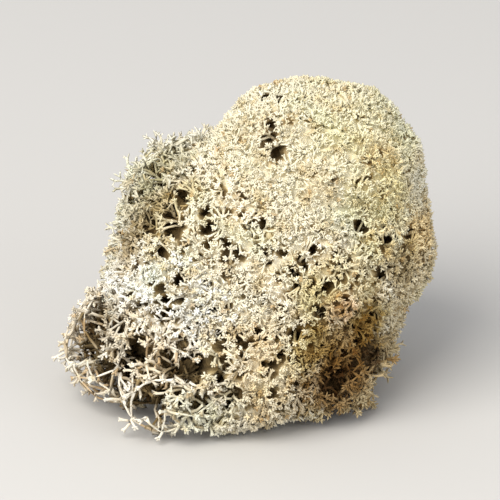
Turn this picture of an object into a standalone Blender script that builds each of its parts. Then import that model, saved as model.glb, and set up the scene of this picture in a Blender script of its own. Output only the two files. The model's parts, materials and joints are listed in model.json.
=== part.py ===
"""Reindeer moss clump: a dry cushion of star-tipped reindeer lichen, about 80 mm across.

Its pieces are podetia, the lichen's branching stems, and the mat of dead old growth that they
stand on. Each podetium forks in twos to fours from its root up to a crown of short-spiked stars.
Neighbouring crowns press together, and each podetium is one closed body of its own.

Units are metres, +Z is up, and the front is -Y. The origin is the middle of the small flat spot
that the clump rests on.
"""

import itertools
import math
from collections import namedtuple

import bmesh
import bpy
import numpy as np
from mathutils import Matrix, Vector, noise
from mathutils.bvhtree import BVHTree

MM = 0.001

# Seats: the gap that two touching pieces keep between their surfaces.
SEAT_GAP = 0.3 * MM
FLOOR_CLEARANCE = 0.8 * MM  # under the lowest spikes

# The mat of old growth: a low mound with a stub under each podetium and broken stems between.
MAT_RADIUS = 13 * MM
MAT_HEIGHT = 9 * MM
MAT_ROUGHNESS = 0.16  # of its radius
MAT_LUMP = 5 * MM  # size of its lumps
ROOT_MIDDLE = Vector((0, 0, 4 * MM))  # the point that all podetia and stubs spread from
STUB_REACH = 12 * MM  # from there to the end of a stub
STUB_FOOT_RADIUS = 3 * MM
STUB_SIDES = 6
BROKEN_STEMS = 60  # tried, of which those that a podetium's stems leave room for are made
BROKEN_REACH = (13 * MM, 21 * MM)  # from the root middle, shortest and longest
BROKEN_RADII = (1.2 * MM, 0.5 * MM)  # at the root middle and at the broken end
BROKEN_SIDES = 4
BROKEN_RISE = (-0.12, 0.8)  # lowest and highest, as the sine of a broken stem's slope
BROKEN_CLEARANCE = 1.1 * MM  # from a broken stem's line to any podetium

# Branching. A stem that carries n spikes is STEM_RADIUS * n ** STEM_GROWTH thick at its fork.
STEM_RADIUS = 0.5 * MM
STEM_GROWTH = 0.2
SLIMMER = (1, 0.8, 0.64, 0.5)  # a fork whose skin would fold is tried again this much slimmer
AXIL_RISE = 0.5  # height of the middle of a fork over its ring, in the ring's radii
FOOT_SIDES = 5
FORK_DEPTH = 1.25  # a fork lies this many times its stars' spread below them
SHORTEST_RISE = 0.4  # of the way from a fork to the stars of the next one
FOUR_FROM = 30  # stars from which a fork has four stems and not three

# Stars. A star is the last fork of a stem, with its spikes spread round it.
STAR_SPIKES = (3, 5)  # fewest and most
STAR_LEAN = math.radians(52)  # of a spike from its stem's direction
STAR_REACH = 3.2 * MM  # a spike's length
STAR_VARIES = 0.16  # of a spike's length and lean, as a share
STAR_DEPTH = 1.3 * MM  # of a star's fork below the crown's surface
SHORTENED = 0.6  # of its length, for a spike in another's way, before it is dropped

# Crowns.
LUMP_SIZE = 11 * MM  # of the low swellings all over a crown
LUMP_HEIGHT = 0.09  # of the crown's radius
SCATTER = 0.2  # how far a star strays from its even place, in spacings
CROWN_MARGIN = 0.88  # stars keep this far out of a neighbouring crown, in its radii
STEEPEST = math.cos(math.radians(82))  # of a crown's surface to the line from the root middle
SEED = 7

Crown = namedtuple("Crown", "name centre radius spacing colour")

CREAM = (0.62, 0.57, 0.40)
PALE_GREEN = (0.60, 0.60, 0.38)
WHITISH = (0.66, 0.64, 0.52)
TAN = (0.50, 0.43, 0.28)
GREY = (0.46, 0.44, 0.34)
OLD_BROWN = (0.20, 0.15, 0.10)

# Each crown's centre, radius and the spacing of its stars in millimetres. Those in front follow
# the photograph's outline.
CROWNS = [
    Crown("podetium_top", (13, 3, 43.5), 22.5, 5.0, PALE_GREEN),
    Crown("podetium_middle", (-3, -7, 35), 18, 5.0, CREAM),
    Crown("podetium_breast", (11, -12, 31), 17, 4.8, CREAM),
    Crown("podetium_shoulder", (-12, 9, 34.5), 16, 5.3, GREY),
    Crown("podetium_left", (-13, -10, 26), 15, 5.0, WHITISH),
    Crown("podetium_front", (0, -17, 14), 15.5, 4.8, CREAM),
    Crown("podetium_right", (22, -1, 31), 16, 5.0, TAN),
    Crown("podetium_back_right", (18, 13, 24), 16, 5.4, CREAM),
    Crown("podetium_back", (-2, 16, 29), 16.5, 5.4, PALE_GREEN),
    Crown("podetium_back_left", (-15, 9, 17), 15.5, 5.4, GREY),
    Crown("podetium_back_low", (1, 18, 12), 14, 5.5, GREY),
    Crown("podetium_front_right", (16, -12.5, 10.5), 13, 5.0, TAN),
    Crown("podetium_right_low", (19, 2, 12), 12.5, 5.4, TAN),
    Crown("spray_left", (-25, -8, 12), 14.5, 5.8, WHITISH),
    Crown("spray_front_left", (-15, -20, 10), 13.5, 5.8, WHITISH),
]


def in_metres(crown):
    return crown._replace(
        centre=Vector(crown.centre) * MM,
        radius=crown.radius * MM,
        spacing=crown.spacing * MM,
    )


def root_of(crown):
    """Where a podetium stands on its stub, and the direction that it leaves it in."""
    way = (crown.centre - ROOT_MIDDLE).normalized()
    return ROOT_MIDDLE + way * (STUB_REACH + SEAT_GAP), way


def crown_stars(crown, others, rng):
    """The places of a crown's stars, evenly spread over what shows of it."""
    count = round(4 * math.pi * crown.radius**2 / (crown.spacing**2 * math.sqrt(3) / 2))
    turn = math.pi * (1 + math.sqrt(5))
    stars = []
    for step in range(count):
        height = 1 - 2 * (step + 0.5) / count
        around = math.sqrt(1 - height**2)
        way = Vector((around * math.cos(turn * step), around * math.sin(turn * step), height))
        way += Vector(rng.normal(0, SCATTER * crown.spacing / crown.radius, 3))
        way.normalize()
        swelling = noise.noise((crown.centre + way * crown.radius) / LUMP_SIZE)
        surface = crown.centre + way * crown.radius * (1 + LUMP_HEIGHT * swelling)
        hidden = any(
            (surface - other.centre).length < other.radius * CROWN_MARGIN for other in others
        )
        star = surface - way * STAR_DEPTH
        low = star.z < FLOOR_CLEARANCE + STAR_DEPTH
        inward = (star - ROOT_MIDDLE).normalized().dot(way) < STEEPEST
        if not (hidden or low or inward):
            stars.append(star)
    return stars


def axes_across(way):
    """Two directions square to way and to each other, so that they and way are right-handed."""
    helper = Vector((0, 0, 1)) if abs(way.z) < 0.9 else Vector((1, 0, 0))
    first = helper.cross(way).normalized()
    return first, way.cross(first)


def angle_round(way, lean):
    """The angle of a direction round way, as axes_across counts it."""
    first, second = axes_across(way)
    return math.atan2(lean.dot(second), lean.dot(first))


def middle_of(points):
    return sum(points, Vector()) / len(points)


def spread_of(points):
    """The root mean square distance of points from their middle."""
    middle = middle_of(points)
    return math.sqrt(sum((point - middle).length_squared for point in points) / len(points))


class Stem:
    """A stem ends at place, in a fork that stems stand on or, where it is a spike, in its tip."""

    def __init__(self, place, stems=()):
        self.place = place
        self.stems = list(stems)
        self.shortened = False

    def spikes(self):
        return sum(stem.spikes() for stem in self.stems) or 1


def sectors(stars, way, count):
    """Deals stars into equal sectors round way, turned to where the sectors come out roundest."""
    middle = middle_of(stars)
    stars = sorted(stars, key=lambda star: angle_round(way, star - middle))
    best = None
    for shift in range(math.ceil(len(stars) / count)):
        turned = stars[shift:] + stars[:shift]
        ends = [len(stars) * part // count for part in range(count + 1)]
        dealt = [turned[start:end] for start, end in itertools.pairwise(ends)]
        spread = sum(spread_of(part) ** 2 * len(part) for part in dealt)
        if best is None or spread < best[0]:
            best = spread, dealt
    return best[1]


def fork_place(stars, parent):
    """Where the stem from parent forks: below its stars, but always a good way on from parent."""
    rise = middle_of(stars) - parent
    back = min(FORK_DEPTH * spread_of(stars), (1 - SHORTEST_RISE) * rise.length)
    return parent + rise.normalized() * (rise.length - back)


def star_stem(place, parent, rng):
    """The last stem below a star, with the star's spikes."""
    way = (place - parent).normalized()
    first, second = axes_across(way)
    count = rng.integers(STAR_SPIKES[0], STAR_SPIKES[1] + 1)
    start = rng.uniform(0, math.tau)
    tips = []
    for spike in range(count):
        around = start + math.tau * (spike + rng.uniform(-STAR_VARIES, STAR_VARIES)) / count
        lean = STAR_LEAN * rng.uniform(1 - STAR_VARIES, 1 + STAR_VARIES)
        reach = STAR_REACH * rng.uniform(1 - STAR_VARIES, 1 + STAR_VARIES)
        aside = math.cos(around) * first + math.sin(around) * second
        tips.append(place + reach * (math.cos(lean) * way + math.sin(lean) * aside))
    return Stem(place, [Stem(tip) for tip in tips if tip.z > FLOOR_CLEARANCE])


def branch(stars, parent, rng):
    """The stem from parent that carries these stars, with everything on it."""
    if len(stars) == 1:
        return star_stem(stars[0], parent, rng)
    place = fork_place(stars, parent)
    count = min(len(stars), 4 if len(stars) >= FOUR_FROM else 3)
    parts = sectors(stars, (place - parent).normalized(), count)
    return Stem(place, [branch(part, place, rng) for part in parts])


def pruned(stem, dropped):
    """The stem without those that are dropped, or None where nothing is left to carry.

    A spike is only shortened the first time.
    """
    if stem in dropped:
        return None
    for upper in stem.stems:
        if upper in dropped and not (upper.stems or upper.shortened):
            upper.place = stem.place.lerp(upper.place, SHORTENED)
            upper.shortened = True
            dropped.remove(upper)
    if stem.stems:
        kept = [pruned(upper, dropped) for upper in stem.stems]
        stem.stems = [upper for upper in kept if upper]
        if len(stem.stems) < 2:
            return stem.stems[0] if stem.stems and stem.stems[0].stems else None
    return stem


class Skin:
    """The points and faces of one podetium, the stem that owns each face, and stems it can't skin."""

    def __init__(self, crown, trunk):
        self.points = []
        self.faces = []
        self.owners = []
        self.folded = []
        root, way = root_of(crown)
        corners = [math.tau * side / FOOT_SIDES for side in range(FOOT_SIDES)]
        self.foot_radius = fork_radius(trunk)
        foot = self.ring(root, way, self.foot_radius, corners)
        self.add(tuple(reversed(foot)), trunk)
        self.grow(trunk, root, foot)

    def add(self, face, stem):
        self.faces.append(face)
        self.owners.append(stem)

    def ring(self, centre, way, radius, angles):
        first, second = axes_across(way)
        start = len(self.points)
        for angle in angles:
            aside = math.cos(angle) * first + math.sin(angle) * second
            self.points.append(centre + radius * aside)
        return list(range(start, len(self.points)))

    def loft(self, low, high):
        """The triangles that join two rings, where the rings' convex hull has them, or else None."""
        corners = low + high
        faces = []
        for trio in itertools.combinations(corners, 3):
            if trio[-1] in low or trio[0] in high:
                continue
            one, two, three = (self.points[corner] for corner in trio)
            normal = (two - one).cross(three - one)
            sides = [
                (self.points[corner] - one).dot(normal) for corner in corners if corner not in trio
            ]
            if max(sides) < 0:
                faces.append(trio)
            elif min(sides) > 0:
                faces.append(trio[::-1])
        return faces if len(faces) == len(corners) else None

    def grow(self, stem, parent, base):
        """Skins a stem from the ring base, which lies round parent, and then all that stands on it."""
        if not stem.stems:
            self.points.append(stem.place)
            for corner, following in zip(base, base[1:] + base[:1]):
                self.add((corner, following, len(self.points) - 1), stem)
            return
        way = (stem.place - parent).normalized()
        stem.stems.sort(key=lambda upper: angle_round(way, upper.place - stem.place))
        facing = eased([angle_round(way, upper.place - stem.place) for upper in stem.stems])
        if len(facing) == 2:
            corners = [facing[0] - math.pi / 2, facing[0], facing[0] + math.pi / 2, facing[1]]
        else:
            corners = [mid_angle(before, after) for before, after in zip(facing[-1:] + facing, facing)]
        for slimmer in SLIMMER:
            radius = fork_radius(stem) * slimmer
            ring = self.ring(stem.place, way, radius, corners)
            faces = self.loft(base, ring)
            if faces:
                break
            del self.points[ring[0] :]
        else:
            self.folded.append(stem)
            return
        for face in faces:
            self.add(face, stem)
        if len(facing) == 2:
            bases = [ring[0:3], [ring[2], ring[3], ring[0]]]
        else:
            self.points.append(stem.place + way * radius * AXIL_RISE)
            axil = len(self.points) - 1
            bases = [[corner, after, axil] for corner, after in zip(ring, ring[1:] + ring[:1])]
        for upper, upper_base in zip(stem.stems, bases):
            self.grow(upper, stem.place, upper_base)

    def triangles(self):
        """The faces as triangles, each with its owner."""
        made = []
        for face, owner in zip(self.faces, self.owners):
            for second, third in itertools.pairwise(face[1:]):
                made.append(((face[0], second, third), owner))
        return made

    def tree(self):
        return BVHTree.FromPolygons(self.points, [face for face, _ in self.triangles()])


def fork_radius(stem):
    return STEM_RADIUS * stem.spikes() ** STEM_GROWTH


def eased(angles):
    """Angles in rising order, each moved half of the way to its place in an even round."""
    step = math.tau / len(angles)
    offsets = [angle - step * i for i, angle in enumerate(angles)]
    start = math.atan2(sum(map(math.sin, offsets)), sum(map(math.cos, offsets)))
    away = [(offset - start + math.pi) % math.tau - math.pi for offset in offsets]
    return [start + step * i + away[i] / 2 for i in range(len(angles))]


def mid_angle(before, after):
    """Half of the way round from one angle to the next."""
    return before + (after - before) % math.tau / 2


def pierces(points, edge, face):
    """Whether an edge runs through a triangle that it doesn't end on."""
    start, end = (points[corner] for corner in edge)
    one, two, three = (points[corner] for corner in face)
    normal = (two - one).cross(three - one)
    before, after = (start - one).dot(normal), (end - one).dot(normal)
    if before * after >= 0:
        return False
    hit = start.lerp(end, before / (before - after))
    turns = [
        (far - near).cross(hit - near).dot(normal)
        for near, far in ((one, two), (two, three), (three, one))
    ]
    return min(turns) > 0


def cross_each_other(points, face, other):
    """Whether two triangles of one skin that the tree reports really run through each other."""
    shared = set(face) & set(other)
    if len(shared) != 1:
        return not shared
    far_edge = [corner for corner in face if corner not in shared]
    other_far_edge = [corner for corner in other if corner not in shared]
    return pierces(points, far_edge, other) or pierces(points, other_far_edge, face)


def slighter(one, other):
    return one if one.spikes() <= other.spikes() else other


def in_the_way(skins):
    """The stems to drop, so that no skin folds, runs through itself or comes too near another."""
    dropped = set()
    trees = []
    for skin in skins:
        triangles = skin.triangles()
        faces = [face for face, _ in triangles]
        owners = [owner for _, owner in triangles]
        trees.append((BVHTree.FromPolygons(skin.points, faces), owners))
        dropped.update(skin.folded)
        for one, other in trees[-1][0].overlap(trees[-1][0]):
            if one < other and cross_each_other(skin.points, faces[one], faces[other]):
                dropped.add(slighter(owners[one], owners[other]))
    for (skin, (tree, owners)), (_, (other_tree, other_owners)) in itertools.permutations(
        zip(skins, trees), 2
    ):
        for one, other in tree.overlap(other_tree):
            dropped.add(slighter(owners[one], other_owners[other]))
        for face, owner in zip(skin.faces, skin.owners):
            for corner in face:
                near = other_tree.find_nearest(skin.points[corner], SEAT_GAP)
                if near[0] is not None:
                    dropped.add(slighter(owner, other_owners[near[2]]))
    return dropped


def podetia(crowns):
    """The skins of all podetia, grown into each other's gaps and then thinned till they lie clear."""
    trunks = []
    for number, crown in enumerate(crowns):
        rng = np.random.default_rng(SEED + number)
        others = crowns[:number] + crowns[number + 1 :]
        root, _ = root_of(crown)
        trunks.append(branch(crown_stars(crown, others, rng), root, rng))
    while True:
        skins = [Skin(crown, trunk) for crown, trunk in zip(crowns, trunks)]
        dropped = in_the_way(skins)
        if not dropped:
            return skins
        trunks = [pruned(trunk, dropped) for trunk in trunks]


def material(name, colour):
    """A dull, dry surface of one colour."""
    made = bpy.data.materials.new(name)
    made.use_nodes = True
    shader = made.node_tree.nodes["Principled BSDF"]
    shader.inputs["Base Color"].default_value = (*colour, 1)
    shader.inputs["Roughness"].default_value = 0.9
    shader.inputs["Metallic"].default_value = 0
    made.diffuse_color = (*colour, 1)
    return made


def add_object(name, mesh, colour, collection):
    made = bpy.data.objects.new(name, mesh)
    mesh.materials.append(material(name, colour))
    collection.objects.link(made)
    return made


def mound():
    """The mat's middle: half of a flattened, lumpy ball on its flat side."""
    shape = bmesh.new()
    bmesh.ops.create_icosphere(shape, subdivisions=3, radius=MAT_RADIUS)
    for vert in shape.verts:
        vert.co *= 1 + MAT_ROUGHNESS * noise.noise(vert.co / MAT_LUMP)
        vert.co.z *= MAT_HEIGHT / MAT_RADIUS
    bmesh.ops.bisect_plane(
        shape,
        geom=shape.verts[:] + shape.edges[:] + shape.faces[:],
        plane_co=(0, 0, 0),
        plane_no=(0, 0, 1),
        clear_inner=True,
    )
    bmesh.ops.holes_fill(shape, edges=shape.edges)
    bmesh.ops.recalc_face_normals(shape, faces=shape.faces)
    return shape


def tapered_rod(start, end, radii, sides):
    """A straight closed rod from start to end with a radius at each."""
    shape = bmesh.new()
    turn = (end - start).to_track_quat("Z", "Y").to_matrix().to_4x4()
    bmesh.ops.create_cone(
        shape,
        cap_ends=True,
        segments=sides,
        radius1=radii[0],
        radius2=radii[1],
        depth=(end - start).length,
        matrix=Matrix.Translation((start + end) / 2) @ turn,
    )
    return shape


def broken_ends(skins, rng):
    """Where the broken stems of the mat end, in the gaps that the podetia leave."""
    trees = [skin.tree() for skin in skins]
    ends = []
    for _ in range(BROKEN_STEMS):
        rise = rng.uniform(*BROKEN_RISE)
        around = rng.uniform(0, math.tau)
        level = math.sqrt(1 - rise**2)
        way = Vector((level * math.cos(around), level * math.sin(around), rise))
        end = ROOT_MIDDLE + way * rng.uniform(*BROKEN_REACH)
        line = [ROOT_MIDDLE.lerp(end, share) for share in np.linspace(0.4, 1, 12)]
        blocked = any(
            tree.find_nearest(point, BROKEN_CLEARANCE)[0] for tree in trees for point in line
        )
        if not blocked and end.z > FLOOR_CLEARANCE + BROKEN_RADII[1]:
            ends.append(end)
    return ends


def fused(name, shapes):
    """One mesh of all the shapes, which run into each other."""
    pieces = bpy.data.collections.new(name + "_pieces")
    for shape in shapes:
        mesh = bpy.data.meshes.new(name)
        shape.to_mesh(mesh)
        shape.free()
        pieces.objects.link(bpy.data.objects.new(name, mesh))
    first = pieces.objects[0]
    pieces.objects.unlink(first)
    bpy.context.scene.collection.children.link(pieces)
    bpy.context.scene.collection.objects.link(first)
    union = first.modifiers.new("fused", "BOOLEAN")
    union.operation = "UNION"
    union.operand_type = "COLLECTION"
    union.collection = pieces
    union.solver = "MANIFOLD"
    view = bpy.context.evaluated_depsgraph_get()
    whole = bpy.data.meshes.new_from_object(first.evaluated_get(view))
    whole.materials.clear()
    for piece in [first, *pieces.objects]:
        bpy.data.objects.remove(piece)
    bpy.data.collections.remove(pieces)
    return whole


def old_base(crowns, skins):
    """The mat of dead old growth, with the stubs that the podetia stand on."""
    shapes = [mound()]
    for crown, skin in zip(crowns, skins):
        _, way = root_of(crown)
        radii = STUB_FOOT_RADIUS, skin.foot_radius
        shapes.append(tapered_rod(ROOT_MIDDLE, ROOT_MIDDLE + way * STUB_REACH, radii, STUB_SIDES))
    for end in broken_ends(skins, np.random.default_rng(SEED)):
        shapes.append(tapered_rod(ROOT_MIDDLE, end, BROKEN_RADII, BROKEN_SIDES))
    return fused("old_base", shapes)


def build():
    for old in list(bpy.data.objects):
        bpy.data.objects.remove(old)
    clump = bpy.data.collections.new("reindeer_moss_clump")
    bpy.context.scene.collection.children.link(clump)
    crowns = [in_metres(crown) for crown in CROWNS]
    skins = podetia(crowns)
    for crown, skin in zip(crowns, skins):
        mesh = bpy.data.meshes.new(crown.name)
        mesh.from_pydata(skin.points, [], skin.faces)
        add_object(crown.name, mesh, crown.colour, clump)
    add_object("old_base", old_base(crowns, skins), OLD_BROWN, clump)


if __name__ == "__main__":
    build()
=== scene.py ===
"""Looks of the reindeer moss clump: each podetium regrown fine over its solid, and the old base.

A podetium's main stems run as in its solid. Past them, it forks on to small blunt-fingered stars that
cover its crown, and side branches fill the space between the stems. A crumbly sheet of dense growth
lies below the stars, and dips into the pores. Its dark brown in pits, pores and open crowns is partly
old growth, partly painted shade; in the creases between crowns it is painted shade.

Units are metres, +Z is up, and the front is -Y.
"""

import itertools
import json
import math
from collections import namedtuple
from typing import NamedTuple

import bmesh
import bpy
import numpy as np
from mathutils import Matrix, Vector, noise
from mathutils.kdtree import KDTree


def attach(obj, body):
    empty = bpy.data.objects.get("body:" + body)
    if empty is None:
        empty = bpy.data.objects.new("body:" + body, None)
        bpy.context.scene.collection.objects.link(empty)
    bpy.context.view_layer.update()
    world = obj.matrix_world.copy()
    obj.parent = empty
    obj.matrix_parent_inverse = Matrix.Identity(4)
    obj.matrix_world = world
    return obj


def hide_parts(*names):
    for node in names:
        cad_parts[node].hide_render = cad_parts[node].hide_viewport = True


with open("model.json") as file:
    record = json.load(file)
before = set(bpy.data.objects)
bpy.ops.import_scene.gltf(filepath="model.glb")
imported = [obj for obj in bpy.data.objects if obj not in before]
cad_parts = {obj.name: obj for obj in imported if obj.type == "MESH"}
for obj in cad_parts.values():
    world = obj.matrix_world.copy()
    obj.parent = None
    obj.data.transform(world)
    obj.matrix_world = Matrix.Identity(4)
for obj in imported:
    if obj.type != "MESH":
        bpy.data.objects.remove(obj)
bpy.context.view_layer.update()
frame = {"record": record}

MM = 0.001

# Branching as in the solids.
SEAT_GAP = 0.3 * MM  # between a podetium and its stub
FLOOR_CLEARANCE = 0.8 * MM  # under the lowest stars
LOWEST = 0.1 * MM  # of any stem
ROOT_MIDDLE = Vector((0, 0, 4 * MM))  # that all podetia and stubs spread from
STUB_REACH = 12 * MM  # from there to the end of a stub
FORK_DEPTH = 1.25  # of a fork below its stars, in their spread
SHORTEST_RISE = 0.4  # of a stem's way to its stars
FOUR_FROM = 30  # stars from which a fork has four stems
STAR_DEPTH = 1.3 * MM  # of a star's fork below the crown's surface
LUMP_SIZE = 11 * MM  # of a crown's low swellings
LUMP_HEIGHT = 0.09  # of the crown's radius
SCATTER = 0.2  # how far a star strays from its even place, in spacings
CROWN_MARGIN = 0.88  # how near stars come to another crown, in its radii
STEEPEST = math.cos(math.radians(82))  # of a crown's surface to the line from its roots
SEED = 7

# Fine growth.
FINE_SCATTER = 0.25  # as SCATTER, of a fine star
FINE_DEPTH = 0.15 * MM  # as STAR_DEPTH, of a fine star
FINE_FORKS = (3, 4)  # fewest and most stems on a fine stem's fork
FINE_LUMP_SIZE = 2.6 * MM  # of the small swellings, like those of a cauliflower
FINE_LUMP_HEIGHT = 0.6 * MM
HEAD_RADIUS = 2.6 * MM  # where the head round a main stem's end has sunk by its style's heads
HEAD_EDGE = 1.5  # and where it stops sinking, in head radii
HUB_REACH = 9 * MM  # a fine star further than this from every main stem's end is left out
CREASE = 6 * MM  # how near to another crown one starts to swell towards it
CREASE_FILL = 2.2 * MM  # the most that it swells there
PORE_SCATTER = 0.3  # as SCATTER, of a pore
PORE_VARIES = (0.6, 1.45)  # least and most of a pore's radius, as a share
CHANGE_REACH = 8 * MM  # how near to an open crown a dense one is looser, and the other way round
LOOSER_BY = 0.55  # there, of its pores' share and size
WIDER_BY = 1.1 * MM  # there, of its web's half width
PROUDER = 4  # how much further stars stand out where the looseness is 1
PROUDEST = 3  # the most that a star stands out, by its style's average
PIT_EDGE = 0.5 * MM  # over which the dense growth deepens, or darkens with painted shade, at the edge of a pit
PIT_AGE_AND_SHADE = 20 * MM  # of the dense growth in a pit: partly old growth, partly painted shade, as it darkens it to near the dead brown
PIT_CRUMBS = 1.0  # how much coarser the crumbs are in a pit
WEB_LINKS = 4  # the most that join a main stem's end to its nearest ones
WEB_REACH = 9 * MM  # the longest of them
WEB_KEPT = 0.62  # of them, picked at random, but for the nearest
WEB_BEND = 0.12  # outwards, of their length
SEEN_CLOSING = 0.3 * MM  # how much wider a laced web is in front
WEB_STEP = 0.4 * MM  # between the points of a web that openings are measured from
WEB_STEM = 0.58 * MM  # radius of a web's branch at its foot
WEB_AGE = 1 * MM  # of a web's youngest growth
CLAWS = (1, 3)  # fewest and most stars of the small branch that stands out of a web's knot
CLAW_STEM = 0.4 * MM  # its radius
SHORTEST_CLAW = 0.35  # of the longest
CLAW_SPREAD = 0.45  # of its stars, in reaches
FELT_CUTS = 6  # how finely the dense growth below the stars is divided
FELT_OVERLAP = 0.8 * MM  # how far it goes on inside a neighbour's
CREASE_SHADE_AGEING = 2.0  # how much older it gets, a mm deeper in a neighbour: painted shade, darkening the creases between crowns
FELT_LUMP_SIZE = 3 * MM  # of its swellings
SMALLEST_FELT = 60  # faces of a loose patch of it that is kept
AXIL_RISE = -0.3  # of the middle of a fork, in the radii of its ring: the axils are hollow
AXIL_AGEING = 1 * MM  # how much older the middle is than the ring
STAR_LEAN = math.radians(56)  # of a finger from its stem's direction
STAR_VARIES = 0.24  # of a finger's length and lean, as a share
BLUNT_AT = 0.58  # of a finger's length, where it starts to round off
BLUNT_AGEING = 0.4  # how much older it is there than at its tip, of its length
STEM_GROWTH = 0.17  # a stem with n fingers is as thick as the thinnest times n ** STEM_GROWTH
LONG_STEM = 1.5 * MM  # stems longer than this are round and bent between their forks
STEM_SIDES = 5
WAIST = 0.72  # of a long stem's thickness at its fork, between its ends
STEM_BEND = 0.08  # of its length
STEM_RINGS = (0.3, 0.72)  # where a long stem has rings, of its length
STAR_AGEING = 1.5 * MM  # most that a star is older than its tips, picked at random
STAR_TINT = 0.5  # how much a star's tint strays from its branch's

# Side branches.
SIDE_FROM = 2.2 * MM  # stems shorter than this have none
SIDE_SPAN = (0.1, 0.95)  # of a stem's length, where they stand
SIDE_REACH = (1.4 * MM, 7 * MM)  # shortest and longest
SIDE_SHARE = 0.75  # the most that they reach, of their stem's length
SIDE_LEAN = (40, 78)  # from the stem, least and most, in degrees
SIDE_STARS_EVERY = 1.4 * MM  # of their reach, for each star
SIDE_SPREAD = 0.3  # of its stars, in reaches
SIDE_INSIDE = 1 * MM  # how far below their crown's surface they end

# The old base.
MAT_RADIUS = 13 * MM
MAT_HEIGHT = 9 * MM
MAT_ROUGHNESS = 0.16  # of its radius
MAT_LUMP = 5 * MM  # size of its lumps
MAT_GRAINS = 0.05  # height of its grains, of its radius
MAT_GRAIN = 1.2 * MM  # size of its grains
STUB_RADIUS = 2 * MM
STUB_TIP = 1 * MM  # its height
DEAD_STEMS = 170  # tried, of which those that stay clear of the floor are made
DEAD_RADIUS = 0.5 * MM
DEAD_REACH = (12 * MM, 21 * MM)  # shortest and longest, from the middle of the roots
DEAD_RISE = (-0.12, 0.95)  # of their directions
DEAD_STARS = (2, 5)  # fewest and most of a dead stem
DEAD_SPREAD = 2 * MM  # of its stars
DEAD_AGE = 14 * MM  # of the mat, and of the youngest dead growth

Star = namedtuple("Star", "fingers length")  # the fewest and most of them
Pores = namedtuple("Pores", "spacing share radius")  # where one may open, and the share that do
Felt = namedtuple("Felt", "depth age")
Under = namedtuple("Under", "spacing depth age all_over")  # all over, or outside the openings only

SIDE_STAR = Star((3, 4), 1.1)


class Style(NamedTuple):
    """How a crown's fine growth looks. Lengths are in mm."""

    spacing: float  # of the stars
    star: Star
    finger: float  # its radius
    stem: float  # radius of the thinnest
    heads: float  # how far a main stem's head sinks at its edge
    proud: float  # how far a star stands out on average
    pit: float  # depth of the openings
    felt: Felt  # the dense growth below the stars; in the open crowns its dark brown is partly old growth, partly painted shade deep in their holes
    crumbs: float  # their size in the felt
    pores: Pores = None
    web: float = 0  # half its width; the crown is open outside it
    laced: bool = False  # whether the web is wider in front
    unders: tuple = ()  # lower layers of stars
    sides: float = 5  # between side branches on a long stem
    ageing: float = 0.4  # youngest of a side branch, by its stem's age
    claws: float = 0  # the longest


STYLES = {
    "tight": Style(
        1.18, Star((4, 6), 0.75), 0.21, 0.24, 0.35, 0.1, 3, Felt(1.2, 1.5), 0.35,
        pores=Pores(4.2, 0.18, 0.42),
    ),
    "close": Style(
        1.3, Star((4, 6), 0.82), 0.22, 0.25, 0.6, 0.15, 3.5, Felt(1.5, 2.0), 0.4,
        pores=Pores(2.7, 0.42, 0.44),
    ),
    "open": Style(
        1.3, Star((4, 6), 0.85), 0.23, 0.26, 0.7, 0.25, 3.5, Felt(1.6, 2.0), 0.5,
        pores=Pores(3.0, 0.55, 0.62),
    ),
    "shaggy": Style(
        1.5, Star((3, 4), 1.3), 0.24, 0.28, 1.3, 0.8, 3.5, Felt(3.0, 6.0), 0.8,
        web=1.0, unders=(Under(2.6, 1.8, 1.0, False), Under(2.4, 3.6, 8, True)),
        sides=2.0, ageing=0.6, claws=1.4,
    ),
    "loose": Style(
        1.5, Star((3, 5), 1.05), 0.22, 0.26, 1.0, 0.5, 2.5, Felt(2.5, 4.5), 0.7,
        web=1.4, unders=(Under(2.6, 1.6, 0.8, False), Under(2.4, 3.2, 7, True)),
        sides=2.0, ageing=0.6, claws=1.2,
    ),
    "hollow": Style(
        1.7, Star((3, 5), 1.2), 0.22, 0.27, 1.4, 0.3, 3, Felt(3.0, 10.0), 0.8,
        web=1.0, unders=(Under(3.2, 1.6, 0.8, False), Under(2.4, 3.6, 10, True)),
        sides=2.0, ageing=1.0, claws=1.6,
    ),
    "lacy": Style(
        1.5, Star((3, 4), 0.85), 0.27, 0.32, 1.4, 0.35, 3, Felt(5.2, 20.0), 1.2,
        web=0.62, laced=True,
        unders=(Under(3.5, 1.6, 0.8, False), Under(2.2, 5.2, 17, True)),
        sides=1.8, ageing=2.2, claws=2.4,
    ),
}

Crown = namedtuple("Crown", "name centre radius spacing style look")

# As in the solids, with the style of the fine stars, and the look.
CROWNS = [
    Crown("podetium_top", (13, 3, 43.5), 22.5, 5.0, "tight", "dome"),
    Crown("podetium_middle", (-3, -7, 35), 18, 5.0, "close", "cream"),
    Crown("podetium_breast", (11, -12, 31), 17, 4.8, "close", "cream"),
    Crown("podetium_shoulder", (-12, 9, 34.5), 16, 5.3, "shaggy", "grey"),
    Crown("podetium_left", (-13, -10, 26), 15, 5.0, "open", "white"),
    Crown("podetium_front", (0, -17, 14), 15.5, 4.8, "open", "cream"),
    Crown("podetium_right", (22, -1, 31), 16, 5.0, "close", "tan"),
    Crown("podetium_back_right", (18, 13, 24), 16, 5.4, "close", "cream"),
    Crown("podetium_back", (-2, 16, 29), 16.5, 5.4, "close", "cream"),
    Crown("podetium_back_left", (-15, 9, 17), 15.5, 5.4, "loose", "grey"),
    Crown("podetium_back_low", (1, 18, 12), 14, 5.5, "loose", "grey"),
    Crown("podetium_front_right", (16, -12.5, 10.5), 13, 5.0, "hollow", "olive"),
    Crown("podetium_right_low", (19, 2, 12), 12.5, 5.4, "loose", "tan"),
    Crown("spray_left", (-25, -8, 12), 14.5, 5.8, "lacy", "spray"),
    Crown("spray_front_left", (-15, -20, 10), 13.5, 5.8, "lacy", "spray"),
]

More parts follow.
